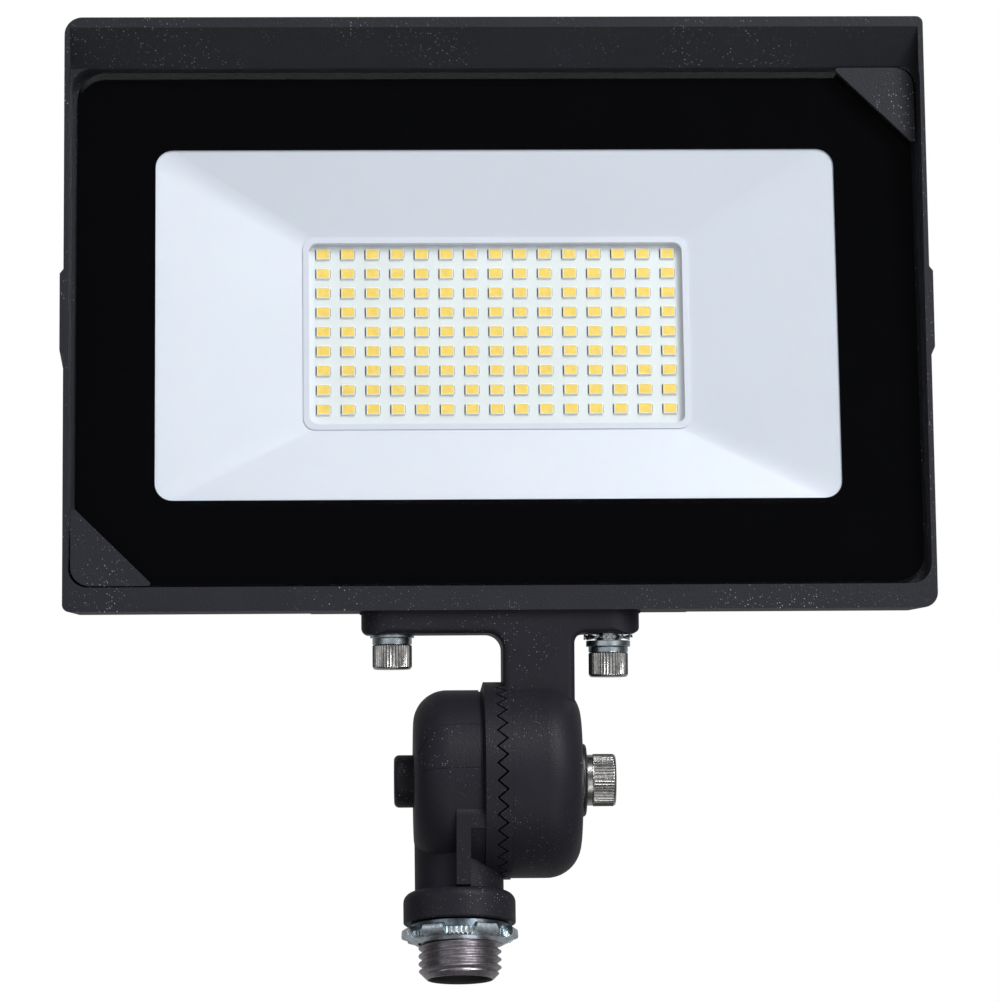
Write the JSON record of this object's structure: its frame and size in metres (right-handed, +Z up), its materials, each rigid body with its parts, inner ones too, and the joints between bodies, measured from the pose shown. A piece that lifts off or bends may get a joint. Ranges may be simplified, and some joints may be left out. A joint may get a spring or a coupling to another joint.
{
  "type": "led flood light",
  "caption": "Wide LED flood light in a black finned cast housing with a visor, black-bordered flat lens and white reflector, on a toothed tilting knuckle with a threaded conduit nipple.",
  "frame": {"origin": "centre of the flat lower face of the knuckle's collar, on the axis of the conduit nipple's bore", "axes": "+Z up along the nipple's axis, the light shines towards -Y, +X to the viewer's right and along the tilt axis"},
  "size_m": [0.2226, 0.0578, 0.2452],
  "materials": {
    "housing_coat": "fine textured powder coat, satin",
    "knuckle_coat": "fine textured powder coat, satin",
    "nipple_metal": "bare cast thread, satin",
    "zinc_plate": "bright zinc plate",
    "screw_steel": "bright stainless",
    "black_steel": "black oxide",
    "lens_glass": "toughened, clear",
    "border_print": "fired black ceramic print, gloss",
    "seal_rubber": "matte",
    "reflector_white": "white moulded plastic, satin",
    "board_white": "white solder mask",
    "led_phosphor": "yellow phosphor",
    "pad_grey": "soft, matte",
    "board_green": "green solder mask",
    "component_black": "moulded epoxy",
    "winding_tape": "yellow tape",
    "can_sleeve": "dark sleeve",
    "terminal_plastic": "green moulded",
    "lead_insulation": "silicone insulation",
    "ground_green": "green dyed"
  },
  "bodies": {
    "base": {"knuckle_lower": "knuckle_coat", "conduit_nipple": "nipple_metal", "knuckle_o_ring": "seal_rubber"},
    "head": {"knuckle_upper": "knuckle_coat", "flange_gasket": "seal_rubber", "flange_screws": "screw_steel", "flange_flat_washers": "screw_steel", "flange_spring_washers": "screw_steel", "flange_star_washer": "zinc_plate", "housing": "housing_coat", "glass_lens": "lens_glass", "lens_border": "border_print", "lens_gasket": "seal_rubber", "corner_cover_upper_right": "housing_coat", "corner_cover_lower_left": "housing_coat", "reflector": "reflector_white", "reflector_screws": "screw_steel", "led_board": "board_white", "leds": "led_phosphor", "led_board_screws": "screw_steel", "thermal_pad": "pad_grey", "lead_grommet": "seal_rubber", "led_leads": "lead_insulation", "driver_board": "board_green", "driver_screws": "screw_steel", "driver_terminals": "terminal_plastic", "driver_transformer": "winding_tape", "driver_capacitors": "can_sleeve", "driver_chips": "component_black", "ground_screw": "ground_green", "rear_cover_gasket": "seal_rubber", "rear_cover": "housing_coat", "rear_cover_screws": "screw_steel", "breather_vent": "component_black"},
    "locknut": {"locknut": "zinc_plate"},
    "pivot_washer": {"pivot_washer": "black_steel"},
    "pivot_bolt": {"pivot_bolt": "screw_steel"}
  },
  "joints": [
    {"name": "knuckle_tilt", "type": "hinge", "parent": "base", "child": "head", "pos_m": [0.01065, 0, 0.0365], "axis": [1, 0, 0], "range_deg": [-100, 80]},
    {"name": "locknut_travel", "type": "slide", "parent": "base", "child": "locknut", "axis": [0, 0, -1], "range_m": [0, 0.0102]},
    {"name": "pivot_washer_slide", "type": "slide", "parent": "base", "child": "pivot_washer", "axis": [1, 0, 0], "range_m": [0, 0.002]},
    {"name": "pivot_bolt_turn", "type": "hinge", "parent": "pivot_washer", "child": "pivot_bolt", "pos_m": [0.01065, 0, 0.0365], "axis": [1, 0, 0], "range_deg": [0, 577]}
  ],
  "couplings": [
    {"joint": "pivot_bolt_turn", "follows": "pivot_washer_slide", "rad_per_m": 5026.5}
  ]
}
